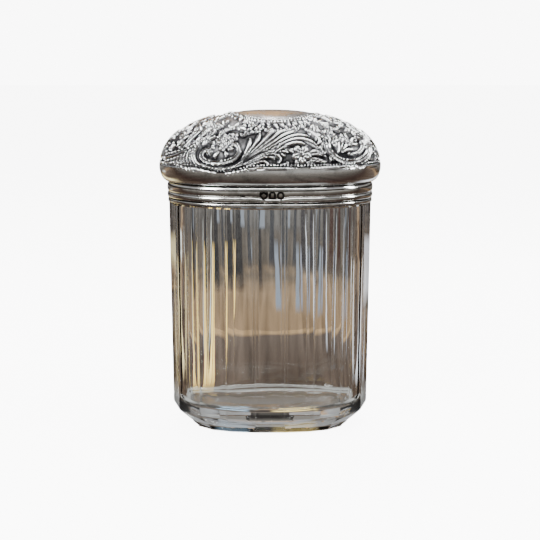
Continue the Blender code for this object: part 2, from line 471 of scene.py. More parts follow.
def build_collar():
    back = CORNER_HALF_WIDTH - sleeve_high.x - CLEARANCE
    proud = band_high.x - CORNER_HALF_WIDTH
    split = band_low.z + (band_high.z - band_low.z) * 0.39
    profile = reed(band_low.z, split, 0.3 * MM, proud) + reed(split, band_high.z, 0.3 * MM, proud)[1:]
    rings = [collar_ring(back, band_high.z), collar_ring(back, band_low.z)]
    for inset, z in profile:
        near_split = max(0, 1 - abs(z - split) / (split - band_low.z))
        rings.append(collar_ring(inset, z, pressed=0.5 * MM * near_split))
    band = stack("reeded_collar", rings, hoop=True, smooth_angle=50)
    band.data.materials.append(silver_finish)
    punch_marks(band, split)
    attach(band, "lid")
    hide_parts("lid_reeded_band")

    profile = reed(wire_low.z, wire_high.z, 0.1 * MM, wire_high.x - CORNER_HALF_WIDTH, 8)
    rings = [collar_ring(back, wire_high.z), collar_ring(back, wire_low.z)]
    rings += [collar_ring(inset, z) for inset, z in profile]
    wire = stack("collar_rim_wire", rings, hoop=True, smooth_angle=50)
    wire.data.materials.append(silver_finish)
    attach(wire, "lid")
    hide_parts("lid_rim_wire")

    outer = CORNER_HALF_WIDTH - sleeve_high.x
    rings = [collar_ring(outer, sleeve_low.z, 0), collar_ring(outer, sleeve_high.z, 0),
             collar_ring(SLEEVE_INSET, sleeve_high.z, 0), collar_ring(SLEEVE_INSET, sleeve_low.z, 0)]
    sleeve = stack("inner_sleeve", rings, hoop=True, smooth_angle=50)
    sleeve.data.materials.append(gilt_finish)
    sleeve.data.materials.append(seam_shade_and_tarnish_finish)
    # the sleeve's outward faces take the near-black silver: painted shade where the sleeve shows through the
    # gaps beside the band and the wire
    for face in sleeve.data.polygons:
        if abs(face.normal.z) < 0.5 and face.normal.dot(face.center * Vector((1, 1, 0))) > 0:
            face.material_index = 1
    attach(sleeve, "lid")
    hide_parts("lid_sleeve")


# ---- lid dome: the smooth form

DOME_WIDE, DOME_DEEP = dome_high.x / MM, dome_high.y / MM      # mm, half sizes at the widest place
TUCK_IN = 2.6                       # mm, how far the lower edge lies inside the widest place
TUCK_RISE = 4.6                     # mm, from the lower edge up to the widest place
WIDEST = dome_low.z / MM + TUCK_RISE
CROWN_RISE = dome_high.z / MM - WIDEST
CROWN_POWER = 2.25
RELIEF_LOW = -1.2                   # mm below the widest place, where the chased surface stops
SINK = 0.72                         # mm, from the tops of the relief down to its ground
FIELD_CENTRE = 1.2                  # mm, how far the plain field on top lies off the middle

ANGLES = np.linspace(-math.pi, math.pi, 721)
TUCK_STEPS = 180                    # steps of the section below the widest place, and above it
TURNS = np.linspace(-math.pi / 2, math.pi / 2, 2 * TUCK_STEPS + 1)
SHARES = np.linspace(0, 1, 301)


def squared(wave):
    """A sine or cosine drawn out towards the corners of the oval."""
    return np.sign(wave) * np.abs(wave) ** (2 / OVAL_POWER)


def dome_point(angle, turn):
    """The smooth dome in mm: turn is 0 at the widest place, negative on the tuck under it."""
    angle, turn = np.broadcast_arrays(angle, turn)
    low, high = np.minimum(turn, 0), np.maximum(turn, 0)
    inset = TUCK_IN * (1 - np.cos(low))
    share = np.cos(high) ** (2 / CROWN_POWER)
    x = (DOME_WIDE - inset) * share * squared(np.sin(angle))
    y = (DOME_DEEP - inset) * share * squared(-np.cos(angle))
    z = WIDEST + TUCK_RISE * np.sin(low) + CROWN_RISE * np.sin(high) ** (2 / CROWN_POWER)
    return np.stack([x, y, z], axis=-1)


def path_lengths(points):
    steps = np.linalg.norm(np.diff(points, axis=-2), axis=-1)
    return np.concatenate([np.zeros_like(steps[..., :1]), np.cumsum(steps, axis=-1)], axis=-1)


EDGE = path_lengths(dome_point(ANGLES, np.zeros_like(ANGLES)))
EDGE -= np.interp(0, ANGLES, EDGE)
ROUND = EDGE[-1] - EDGE[0]
CLIMB = path_lengths(dome_point(ANGLES[:, None], TURNS[None, :]))
TURN_AT = np.array([np.interp(SHARES * row[-1], row, TURNS) for row in CLIMB])


def share_up(angle, v):
    """How far up the whole section a point v mm above the widest place lies."""
    below = np.interp(angle, ANGLES, CLIMB[:, TUCK_STEPS])
    whole = np.interp(angle, ANGLES, CLIMB[:, -1])
    return (v + below) / whole


def dome_at(angle, share):
    row = (angle + math.pi) / (2 * math.pi) * (len(ANGLES) - 1)
    column = np.clip(share, 0, 1) * (len(SHARES) - 1)
    i = np.clip(row.astype(int), 0, len(ANGLES) - 2)
    j = np.clip(column.astype(int), 0, len(SHARES) - 2)
    f, g = row - i, column - j
    turn = ((TURN_AT[i, j] * (1 - g) + TURN_AT[i, j + 1] * g) * (1 - f)
            + (TURN_AT[i + 1, j] * (1 - g) + TURN_AT[i + 1, j + 1] * g) * f)
    return dome_point(angle, turn)


def on_side(u, v):
    """A point u mm round from the front and v mm up from the widest place."""
    angle = np.interp((u - EDGE[0]) % ROUND + EDGE[0], EDGE, ANGLES)
    return dome_at(angle, share_up(angle, v))


def on_top(x, y):
    """The point of the crown straight above a place in plan."""
    share = np.abs(x / DOME_WIDE) ** OVAL_POWER + np.abs(y / DOME_DEEP) ** OVAL_POWER
    rise = np.maximum(1 - share ** (CROWN_POWER / OVAL_POWER), 0) ** (1 / CROWN_POWER)
    return np.stack([x, y, WIDEST + CROWN_RISE * rise], axis=-1)


# ---- lid dome: lines to chase along

def spline(*points, count=36):
    """A smooth line through a few points."""
    pts = np.array(points, float)
    pts = np.vstack([2 * pts[0] - pts[1], pts, 2 * pts[-1] - pts[-2]])
    places = np.linspace(0, len(pts) - 3 - 1e-6, count)
    i = places.astype(int)
    t = (places - i)[:, None]
    p0, p1, p2, p3 = pts[i], pts[i + 1], pts[i + 2], pts[i + 3]
    return 0.5 * (2 * p1 + (p2 - p0) * t + (2 * p0 - 5 * p1 + 4 * p2 - p3) * t ** 2
                  + (3 * p1 - p0 - 3 * p2 + p3) * t ** 3)


def curl(start, heading, length, bends, count=24):
    """A line that leaves start at a heading in degrees and turns by so many degrees per mm."""
    along = np.linspace(0, 1, count)
    bend = np.radians(np.interp(along, np.linspace(0, 1, len(bends)), bends))
    step = length / (count - 1)
    turn = math.radians(heading) + np.concatenate([[0], np.cumsum((bend[1:] + bend[:-1]) / 2)]) * step
    moves = np.stack([np.cos(turn), np.sin(turn)], axis=1) * step
    return np.array(start) + np.vstack([[0, 0], np.cumsum((moves[1:] + moves[:-1]) / 2, axis=0)])


def swell(count, low, peak=0.5):
    """Runs from low up to 1 at peak and back down to low."""
    s = np.linspace(0, 1, count)
    rise = np.where(s < peak, s / peak, (1 - s) / (1 - peak))
    return low + (1 - low) * np.sin(rise * math.pi / 2)


def spaced(line, gap):
    """Points at even gaps along a line."""
    reach = path_lengths(line)
    places = np.linspace(0, reach[-1], max(2, int(round(reach[-1] / gap)) + 1))
    return np.stack([np.interp(places, reach, line[:, k]) for k in (0, 1)], axis=1)


# ---- lid dome: chasing tools

class Chaser:
    """Raises ridges, leaves and flowers over the dome's ground; heights run from 0 to 1."""

    def __init__(self, base, lay, height):
        self.base = base
        self.lay = lay
        self.height = height

    def ridge(self, flat, width, height, section="round", groove=0.2, keep=0.2):
        """One ridge; width is its half width in mm. It cuts a groove beside itself."""
        path = self.lay(flat[:, 0], flat[:, 1])
        width = np.broadcast_to(np.asarray(width, float), len(path))
        height = np.broadcast_to(np.asarray(height, float), len(path))
        reach = width.max() + groove
        near = np.flatnonzero(np.all((self.base > path.min(0) - reach)
                                     & (self.base < path.max(0) + reach), axis=1))
        if not len(near):
            return
        start, step = path[:-1], np.diff(path, axis=0)
        away = self.base[near][:, None, :] - start
        share = np.clip((away * step).sum(-1) / np.maximum((step ** 2).sum(-1), 1e-9), 0, 1)
        gap = np.linalg.norm(away - share[..., None] * step, axis=-1)
        wide = width[:-1] + share * np.diff(width)
        best = np.argmin(gap / wide, axis=1)
        rows = np.arange(len(near))
        gap, wide, share = gap[rows, best], wide[rows, best], share[rows, best]
        tall = height[best] + share * (height[best + 1] - height[best])
        q = np.clip(gap / wide, 0, 1)
        body = (1 - q ** 2) ** 0.6
        if section == "leaf":
            body = (1 - q ** 3) * (0.6 + 0.4 * q - 0.35 * np.exp(-(q / 0.16) ** 2))
        elif section == "channel":
            body = (1 - q ** 8) * (0.35 + 0.65 * np.exp(-((q - 0.66) / 0.28) ** 2))
        elif section == "flat":
            body = 1 - q ** 6
        old = self.height[near]
        inside = gap < wide
        cut = np.clip((gap - wide) / groove, 0, 1) if groove else 1.0
        self.height[near] = np.where(inside, np.maximum(tall * body, old * keep), old * cut)

    def dot(self, place, radius, height=0.8):
        self.ridge(np.array([place, place], float), radius, height, groove=0.14)

    def beads(self, line, radius, gap, height=0.75):
        for place in spaced(line, gap):
            self.dot(place, radius, height)

    def flower(self, centre, radius, petals=5, turn=18):
        for k in range(petals):
            angle = math.radians(turn + 360 * k / petals)
            out = np.array([math.cos(angle), math.sin(angle)])
            line = np.array(centre) + np.outer(np.linspace(0.25, 0.62, 8) * radius, out)
            self.ridge(line, np.linspace(0.2, 0.4, 8) * radius, 0.92, "leaf", 0.14, 0)
        self.dot(centre, 0.3 * radius, 1.0)
        self.dot(centre, 0.1 * radius, 0.4)

    def leaf(self, line, width, height=0.85):
        """A pointed leaf with a sunk midrib."""
        self.ridge(line, width * swell(len(line), 0.1, 0.42), height, "leaf")

    def plume(self, line, width, height=0.9, groove=0.14, keep=0.5):
        """A rib that widens to a round tip."""
        s = np.linspace(0, 1, len(line))
        taper = np.sqrt(np.clip(1.02 - np.clip((s - 0.72) / 0.28, 0, 1) ** 2, 0.04, 1))
        self.ridge(line, width * (0.62 + 0.38 * s) * taper, height * (0.6 + 0.4 * s), "round", groove, keep)

    def sprays(self, line, lobes, reach, width, sides=(1, -1), height=0.9, lean=34, hook=34):
        """Acanthus: pointed fingers curling off a spine, tip ones first, then the spine over them."""
        count = len(line)
        self.ridge(line, reach * 0.5 * swell(count, 0.3, 0.4), 0.4, "flat", 0.22, 0)
        for k in reversed(range(lobes)):
            s = (k + 0.4) / lobes
            i = min(int(s * (count - 1)), count - 2)
            dx, dy = line[i + 1] - line[i]
            heading = math.degrees(math.atan2(dy, dx))
            length = reach * (0.65 + 0.35 * math.sin(math.pi * (0.15 + 0.7 * s)))
            for side in sides:
                finger = curl(line[i], heading + lean * side, length, (0, hook * side), 14)
                self.ridge(finger, width * swell(14, 0.45, 0.4), height, groove=0.2, keep=0.1)
        self.ridge(line, width * swell(count, 0.5, 0.3), height, groove=0.16, keep=0.2)

    def fan(self, root, heading, spread, length, ribs=5, width=0.6, hook=0):
        """Ribs opening from one root, the outer ones first and shortest."""
        order = sorted(range(ribs), key=lambda k: -abs(2 * k - ribs + 1))
        for k in order:
            place = 2 * k / (ribs - 1) - 1
            line = curl(root, heading + place * spread / 2, length * (1 - 0.3 * abs(place)),
                        (hook, hook + 14 * place), 18)
            self.plume(line, width, 1.0, 0.2, 0.35)

    def scroll(self, line, width, height=0.9):
        """A hollow band that ends in beads."""
        self.ridge(line, width * swell(len(line), 0.5, 0.5), height, "channel")
        for end in (line[0], line[-1]):
            self.dot(end, width * 0.72, height)


def chase_side(tool):
    """The run of ornament that covers one long side of the lid, end to end."""
    border = spline((-44, 0.8), (-38, 0.6), (-30, 0.5), (-25, 0.7), (-21, 0.3), (-16, -0.6),
                    (-12.5, -0.6), (-9, 0.1), (-6, 0.8), (0, 1.1), (9, 0.9), (18, 1), (24, 1.1),
                    (34, 0.9), (44, 0.8), count=120)
    # fans and ragged leaves filling the ground first, so that everything later lies over them
    tool.sprays(spline((13.5, 13.8), (16, 11), (16.4, 7.8), (15.4, 5.6)), 5, 2.3, 0.5)
    tool.sprays(spline((36, 2.2), (38.5, 6), (38, 11), (34, 14.5)), 5, 2.8, 0.56)
    tool.sprays(spline((-36, 2.2), (-38.5, 6), (-38.5, 11), (-35, 15)), 5, 2.8, 0.56)
    tool.fan((-19.5, 15.2), 150, 110, 5, 5, 0.62, 6)
    for root, heading in (((-27, 19.2), 170), ((-36, 17), 150)):
        tool.fan(root, heading, 120, 5.4, 5, 0.66)
    tool.fan((22, 18), 20, 120, 5.2, 5, 0.62)
    for root, heading in (((30, 18.8), 30), ((38, 16.2), 40)):
        tool.fan(root, heading, 120, 5.4, 5, 0.66)
    tool.fan((-21.4, 7.6), 98, 60, 6, 4, 0.6, -4)
    tool.fan((-8.4, 11.4), 70, 80, 3.6, 3, 0.55)
    for k in range(9):
        tool.fan((-11 + 3.5 * k, 12.2 + 0.02 * (3.5 * k - 14) ** 2), 84 + 3 * k, 100, 2.4, 3, 0.5)
    tool.flower((-4.6, 13.3), 1.4)
    tool.flower((17.6, 14.4), 1.7)

    # shell of flutes at the left
    top = spline((-35, 2.6), (-31, 3.5), (-28, 4.8), (-25.6, 6.4), (-23.6, 8))
    for place in spaced(top, 1.6):
        foot = (place[0] * 0.86 - 3.2, 0.2)
        middle = (0.5 * place[0] + 0.5 * foot[0] - 0.8, 0.5 * place[1] + 0.2)
        flute = spline(place, middle, foot, count=20)
        tool.ridge(flute, np.linspace(0.62, 0.5, 20), 1, groove=0.3, keep=0)
    tool.ridge(top + (0, 0.4), 0.42, 0.95, groove=0.35)
    tool.beads(top + (-0.3, 1.5), 0.5, 1.35, 0.9)
    for k in range(3):
        tool.fan((-33.4 + 3.4 * k, 5.2 + 1.1 * k), 112 - 6 * k, 70, 3.2, 3, 0.52)

    # long ragged leaves at the upper left
    tool.sprays(spline((-31, 6.8), (-31.2, 9.4), (-33.2, 12.4), (-38, 15.5)), 5, 2.6, 0.55)
    for offset in (-1.1, 0, 1.1):
        tool.plume(spline((-28.4, 6.6), (-27.6 + offset * 0.5, 9.4), (-28.4 + offset, 13.6),
                          (-32.8 + 1.6 * offset, 17.8 - offset)), 0.62, 1, 0.2, 0.4)
    for offset in (-1, 0, 1):
        tool.plume(spline((-25.6, 8.2), (-24.6 + offset * 0.5, 11), (-24.6 + offset, 14.4),
                          (-27.2 + 1.5 * offset, 18.2 - offset)), 0.6, 1, 0.2, 0.4)
    tool.scroll(spline((-24.2, 8.4), (-22.2, 10.6), (-21.4, 13.2), (-22.6, 15.2), (-24.4, 14.6),
                       (-24.2, 13.2)), 0.6)

    # the C-scroll and its flowers
    line = spline((-23.4, 7.4), (-23.6, 4.6), (-22, 2), (-18.2, 0.75), (-14.5, 0.3), (-11.2, 0.8),
                  (-8.6, 2.2), (-6.8, 4), count=60)
    middle = np.array((-15.2, 5.2))
    for reach in (1.05, 0.96):
        tool.ridge(middle + (line - middle) * reach, 0.46 * swell(60, 0.5), 0.85, groove=0.14)
    line = spline((-19, 5.1), (-18.5, 4.7), (-18.2, 5.4), (-18.8, 6.2), (-19.9, 6.1), (-20.8, 5),
                  (-20.3, 3.6), (-18.5, 2.7), (-15.5, 2.3), (-12.5, 2.8), (-10.2, 3.9), (-9.3, 5.6),
                  (-9.9, 7.3), (-11.2, 8.1), (-12.5, 7.5), (-12.4, 6.4), (-11.5, 6.3), count=110)
    widths = np.interp(np.linspace(0, 1, 110), (0, 0.15, 0.5, 0.85, 1), (0.4, 0.8, 1, 0.8, 0.4))
    tool.ridge(line, 0.82 * widths, 1, "channel", 0.24, 0)
    tool.dot((-18.95, 5.15), 0.5, 1)
    tool.dot((-11.7, 6.6), 0.48, 1)
    for heading in (60, 85, 115, 140, 35):
        tool.leaf(curl((-14.6, 7.2), heading, 4.6, (10, -20), 16), 0.72)
    tool.flower((-15.8, 9.9), 1.95)
    tool.flower((-12.4, 10.3), 1.75, turn=50)
    tool.flower((-14.4, 7.2), 1.6, turn=0)
    for width, points in ((0.6, ((-17.4, 7.6), (-18.6, 8.6), (-20, 8.8))),
                          (0.5, ((-17.2, 6.6), (-18, 7.2), (-18.4, 8))),
                          (0.6, ((-15.4, 5.6), (-16.4, 4.5), (-16.2, 3.4))),
                          (0.6, ((-13.6, 5.6), (-13, 4.8), (-13.4, 3.8)))):
        tool.leaf(spline(*points, count=14), width)

    # the arch over them
    tool.sprays(spline((-17.6, 10.8), (-16.6, 13.4), (-14.2, 14.8), (-10.5, 14.1), (-7.5, 12)),
                5, 2, 0.5, sides=(1,))
    tool.ridge(spline((-17.8, 10.6), (-16.8, 13), (-14.4, 14.4), (-10.8, 13.8), (-8.4, 12.2),
                      (-9.4, 11), (-10.4, 12), count=50), 0.6 * swell(50, 0.5), 0.95, "channel")

    # the great plume: a low body, then its ribs
    line = spline((-8, 2.4), (-4.5, 4.8), (-0.5, 7.4), (3.5, 9.6), (7.5, 10.6), (11.5, 9.6), (14.6, 6.6))
    widths = np.interp(np.linspace(0, 1, 36), (0, 0.35, 0.6, 1), (0.5, 1.7, 1.7, 0.4))
    tool.ridge(line, widths, 0.5, "flat", 0.25, 0.3)
    ribs = (
        ((-8, 3), (-7.2, 5.4), (-6.6, 7.6), (-6.4, 9.8)),
        ((-7.6, 3.1), (-6, 5.8), (-4.6, 8.4), (-3.4, 11.6)),
        ((-7.3, 3.1), (-5, 5.8), (-2.6, 8.6), (-0.2, 11.6), (1.4, 12.8)),
        ((-7.1, 3), (-4, 5.8), (-0.8, 8.6), (2.6, 11.6), (5.6, 13)),
        ((-7, 2.9), (-3.2, 5.7), (0.6, 8.4), (4.6, 11), (9.4, 12.7)),
        ((-7, 2.8), (-2.6, 5.3), (1.2, 7.7), (5.4, 10), (9.6, 11.2), (13.4, 10.6)),
        ((-6.8, 2.8), (-2.2, 4.8), (1.6, 7), (5.6, 9), (9.4, 9.9), (12.8, 9.2), (15, 7.2)),
        ((-6.6, 2.7), (-1.8, 4.3), (1.8, 6.2), (5.4, 7.9), (8.6, 8.6), (11.4, 7.8)),
    )
    for number, points in enumerate(ribs):
        tool.plume(spline(*points), 0.74 if number < 5 else 0.62, 1, 0.2, 0.5)

    # leaves curling under the plume
    tool.ridge(spline((-7.6, 1.9), (-4.5, 3.3), (-2, 4.5), (1, 5), (2.8, 4.3), (2.9, 2.9)),
               1.15 * swell(36, 0.35, 0.55), 0.5, "flat", 0.2, 0.2)
    tool.plume(spline((-7.4, 2.1), (-4.2, 3.9), (-1.4, 5.3), (1.4, 5.9), (3.3, 5.2)), 0.5, 0.95, 0.12, 0.5)
    tool.plume(spline((-7.4, 2), (-4.4, 3.5), (-1.8, 4.7), (1, 5.1), (2.7, 4.3), (2.9, 2.8),
                      (1.9, 2.5)), 0.5, 1, 0.12, 0.5)
    tool.plume(spline((-7.2, 1.8), (-4.4, 3), (-2, 4), (0.2, 4.2), (1.4, 3.4)), 0.46, 0.9, 0.12, 0.5)
    tool.plume(spline((-6.8, 1.5), (-3.8, 2.5), (-1.8, 2.9), (-0.5, 2)), 0.5, 0.95, 0.14, 0.3)
    tool.fan((1.6, 5.6), 28, 70, 4.4, 4, 0.5, -8)
    for heading in (150, 245, 320):
        tool.leaf(curl((8.8, 5), heading, 4.4, (0, 14), 14), 0.78)

    # the single flower and the leaves beyond it
    tool.leaf(spline((11, 4.6), (13.6, 5.4), (16.6, 4.4), count=20), 1.05)
    tool.leaf(spline((11, 3.4), (13.4, 3.2), (16.4, 2.6), count=20), 0.85)
    tool.leaf(spline((10.4, 2.9), (11.8, 2.1), (13.6, 1.9), count=16), 0.6)
    tool.leaf(spline((5.4, 2.7), (4.6, 2), (3.4, 1.9), count=16), 0.6)
    tool.flower((9.4, 5), 3, petals=5, turn=54)

    # the open cartouche of scrolls at the right
    tool.sprays(spline((24.8, 15.6), (20.2, 12.6), (17.9, 9.2), (17.4, 6), (19, 3.2)),
                6, 2, 0.5, sides=(-1,))
    tool.sprays(spline((22, 1.8), (27, 1.7), (32, 3.2), (36, 6.6), (36.6, 11)), 7, 2, 0.5, sides=(-1,))
    tool.ridge(spline((26, 13), (25.2, 14.4), (23.4, 13.9), (20.8, 11.9), (18.8, 9.2), (18.3, 6.2),
                      (19.8, 3.9), (22.6, 2.6), (26.6, 2.6), (30.8, 3.8), (34, 6.6), (35, 10),
                      (33.6, 12.6), (31.8, 12), (32.2, 10.6), count=110),
               0.86 * swell(110, 0.55), 1, "channel", 0.34, 0)
    tool.fan((21, 5.4), 48, 84, 8.2, 6, 0.66, 5)
    tool.fan((20.2, 8.4), 62, 60, 4.6, 3, 0.55, -6)
    tool.fan((26, 7.6), 60, 110, 5, 5, 0.6, 4)
    tool.fan((31, 6.2), 40, 60, 3.4, 3, 0.55, 4)
    tool.scroll(spline((24.6, 4.8), (28.2, 5), (31.2, 6.8), (32.2, 9.2), (30.8, 10.2), (29.8, 9)), 0.66)
    tool.scroll(spline((27.4, 14.8), (29.4, 15.8), (31.6, 15), (31.2, 13.4), (29.8, 13.4)), 0.62)

    # edge line
    tool.ridge(border, 0.34, 0.85, keep=0.9)
    tool.beads(border + (0.4, 0.7), 0.36, 0.98, 0.85)


def chase_end(tool):
    """The palmette that fills each rounded end, and the leaves between it and the crown."""
    for side in (-1, 1):
        tool.fan((side * 7.6, 11.5), 90 - side * 18, 100, 5.2, 5, 0.6)
        tool.fan((side * 4.6, 20), 90 - side * 24, 110, 4.6, 4, 0.6)
        tool.flower((side * 8.2, 19.4), 1.8)
        tool.fan((side * 3.2, 6), 90 - side * 34, 70, 6.4, 4, 0.6, side * 5)
        line = spline((1.2, 4.6), (2.6, 3), (4.6, 3.4), (4.8, 5.2), (3.4, 5.6), (3.3, 4.5), count=50)
        tool.ridge(line * (side, 1), 0.6 * swell(50, 0.5), 0.95, "channel")
    for turn in (-60, 60, -42, 42, -24, 24, -8, 8):
        bend = -turn * 0.12
        tool.plume(curl((0, 4.4), 90 - turn, 9.4 - abs(turn) * 0.05, (0, bend), 24), 0.85, 1, 0.16, 0.2)
    tool.flower((0, 4.2), 1.9)
    for side in (-1, 1):
        tool.fan((side * 3.4, 14.4), 90 - side * 26, 80, 5.6, 4, 0.62)
    tool.fan((0, 18.5), 90, 120, 6.4, 7, 0.66)


def chase_crown(tool):
    """The plain round field on top in its frame of beads and leaf tips."""
    centre = np.array((FIELD_CENTRE, 0))
    turns = np.linspace(0, 2 * math.pi, 193)
    line = np.stack([FIELD_CENTRE + 13.2 * np.cos(turns), 13.0 * np.sin(turns)], axis=1)
    for k in range(0, 192, 4):
        heading = math.degrees(turns[k])
        tool.leaf(curl(line[k], heading + 14, 2.5, (0, 24), 10), 0.66, 0.8)
    tool.ridge(line, 0.95, 0.95, "flat", 0.2, 0)
    tool.ridge(line, 0.55, 0.35, "flat", 0, 0)
    tool.beads(line[:-1], 0.42, 1, 0.95)
    tool.ridge(np.array([centre, centre]), 12.9, 0.62, "flat", 0, 0)
    for reach in (0.93, 0.89):
        tool.ridge((line - centre) * reach + centre, 0.2, 0.5, "flat", 0, 0)


# ---- lid dome: the piece

GRID = (340, 240)                   # squares of the grid that is laid over the dome
PLAIN = 0.75                        # how bright the silver is where there is no relief


def build_dome():
    deselect()
    bpy.ops.mesh.primitive_grid_add(x_subdivisions=GRID[0], y_subdivisions=GRID[1], size=2)
    dome = bpy.context.object
    dome.name = dome.data.name = "stamped_lid_dome"
    mesh = dome.data
    count = len(mesh.vertices)
    flat = np.empty(count * 3)
    mesh.vertices.foreach_get("co", flat)
    s, t = flat.reshape(-1, 3)[:, :2].T

    # the grid's squares become ovals, evenly divided along the rim, and are laid over the dome
    away = np.maximum(np.abs(s), np.abs(t))
    quarter = ROUND / 4
    long_side = quarter * GRID[0] / (GRID[0] + GRID[1])
    safe = np.maximum(away, 1e-6)
    ends = np.sign(s) * (quarter + t / safe * (quarter - long_side))
    sides = np.where(t < 0, s / safe * long_side, 2 * quarter - s / safe * long_side)
    u = np.where(np.abs(s) > np.abs(t), ends, sides)
    u = (u - EDGE[0]) % ROUND + EDGE[0]
    angle = np.interp(u, EDGE, ANGLES)
    edge = share_up(angle, RELIEF_LOW)
    share = 1 - away * (1 - edge)
    base = dome_at(angle, share)
    whole = np.interp(angle, ANGLES, CLIMB[:, -1])
    v = share * whole - np.interp(angle, ANGLES, CLIMB[:, TUCK_STEPS])
    mesh.vertices.foreach_set("co", base.ravel())
    mesh.update()
    normals = np.empty(count * 3)
    mesh.vertex_normals.foreach_get("vector", normals)
    normals = normals.reshape(-1, 3)

    height = np.zeros(count)
    for side in (0, ROUND / 2):
        for centre, chase in ((side, chase_side), (side + ROUND / 4, chase_end)):
            chase(Chaser(base, lambda a, b, c=centre: on_side(a + c, b), height))
    chase_crown(Chaser(base, on_top, height))

    local = np.mod(u + ROUND / 4, ROUND / 2) - ROUND / 4
    lowest = np.interp(local, (-44, -30, -21, -16, -12, -6, 0, 44),
                       (0.6, 0.4, 0.2, -0.7, -0.7, 0.6, 0.9, 0.7))
    ramp = np.clip((v - lowest + 0.3) / 0.6, 0, 1)
    height = np.where(v < lowest - 0.3, 0, height)
    sunk = SINK * np.maximum(ramp - height, 0)
    moved = (base - normals * sunk[:, None]) * MM
    mesh.vertices.foreach_set("co", moved.ravel())

    # how far each place stands over its surroundings decides where the tarnish stays
    rows = np.lexsort((s.round(5), t.round(5)))
    picture = (height + (1 - ramp))[rows].reshape(GRID[1] + 1, GRID[0] + 1)
    spread = picture
    for axis in (0, 1):
        spread = sum(np.roll(spread, k, axis) for k in range(-3, 4)) / 7
    level = np.empty(count)
    level[rows] = np.clip(0.2 + 0.42 * picture + 1.15 * (picture - spread), 0, 1).ravel()
    level = np.where(ramp < 1, PLAIN, level)
    relief = mesh.attributes.new("relief", "FLOAT", "POINT")
    relief.data.foreach_set("value", level)
    slots = mesh.attributes.new("slot", "INT", "POINT")
    slots.data.foreach_set("value", np.arange(count))

    # the plain tuck under the widest place, its turned-in edge and the wall inside
    def ring_of(points):
        dents = 0.09 * (np.sin(4 * angle + 1) + 0.7 * np.sin(9 * angle + 2) + 0.5 * np.sin(17 * angle))
        return (points - points * dents[:, None] * (0.005, 0.008, 0)) * MM

    def inner_ring(inset, z):
        return np.stack([(DOME_WIDE - inset) * squared(np.sin(angle)),
                         (DOME_DEEP - inset) * squared(-np.cos(angle)), np.full(count, z)], axis=1) * MM

    bpy.ops.object.mode_set(mode="EDIT")
    bpy.ops.mesh.select_mode(type="VERT")
    select_open_edges()
    for turn in (-22, -32, -44, -58, -74, -90):
        extrude_to(dome, ring_of(dome_point(angle, np.full(count, math.radians(turn)))))
    low = dome_low.z / MM
    for inset, z in ((TUCK_IN + 0.5, low), (TUCK_IN + 0.5, low + 0.5), (1.5, WIDEST - 1.5), (1.3, WIDEST)):
        extrude_to(dome, inner_ring(inset, z))
    for turn in (25, 48, 68):
        inside = dome_point(angle, np.full(count, math.radians(turn)))
        extrude_to(dome, (inside * (0.96, 0.94, 1) - (0, 0, 1.3)) * MM)
    bpy.ops.mesh.edge_face_add()
    finish_ring(dome, 60)

    values = np.full(len(mesh.vertices), PLAIN)
    values[:count] = level
    mesh.attributes["relief"].data.foreach_set("value", values)
    mesh.materials.append(stamped_finish)
    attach(dome, "lid")
    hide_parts("lid_dome")


build_glass()
build_collar()
build_dome()


# ---- camera, floor and light

CAMERA_LENS = 59.3                  # mm, on a sensor 36 mm wide
CAMERA_PLACE = (0, -0.274, 0.109)
CAMERA_DROP = 12.15                 # degrees below level
JAR_MIDDLE = (0, 0, 0.08)           # where the lamps point
TABLE_EDGE = 0.16                   # where the near half of the table card meets the far half


def stage_plane(name, size, place, turn=0, tilt=0):
    deselect()
    turned = (math.radians(tilt), 0, math.radians(turn))
    bpy.ops.mesh.primitive_plane_add(size=1, location=place, rotation=turned)
    card = bpy.context.object
    card.name = name
    card.scale = (*size, 1)
    bpy.ops.object.transform_apply(location=False, rotation=False, scale=True)
    return card


def glow(card, name, **settings):
    """Gives a card a matt black surface whose own light is its colour; the camera doesn't see the card."""
    material, tree, shader = new_material(name, Base_Color=(0, 0, 0, 1), Specular_IOR_Level=0, Roughness=1,
                                          **settings)
    card.data.materials.append(material)
    card.visible_camera = card.visible_diffuse = card.visible_shadow = False
    return tree, shader


def set_camera():
    camera_data = bpy.data.cameras.new("camera")
    camera_data.sensor_width = 36
    camera_data.lens = CAMERA_LENS
    camera_data.clip_start = 0.01
    camera = bpy.data.objects.new("camera", camera_data)
    camera.location = CAMERA_PLACE
    camera.rotation_euler = (math.radians(90 - CAMERA_DROP), 0, 0)
    bpy.context.scene.collection.objects.link(camera)
    bpy.context.scene.camera = camera


def lay_floor():
    """The paper sweep that the camera sees, lit nearly to white; the glass and the metal don't see it."""
    floor = stage_plane("studio_floor", (30, 30), (0, 0, -0.0001))
    paper = new_material("pale_paper", Base_Color=linear("#f2f2f1"), Roughness=0.9,
                         Emission_Color=(1, 1, 1, 1), Emission_Strength=8.0)[0]
    floor.data.materials.append(paper)
    floor.visible_glossy = floor.visible_transmission = False


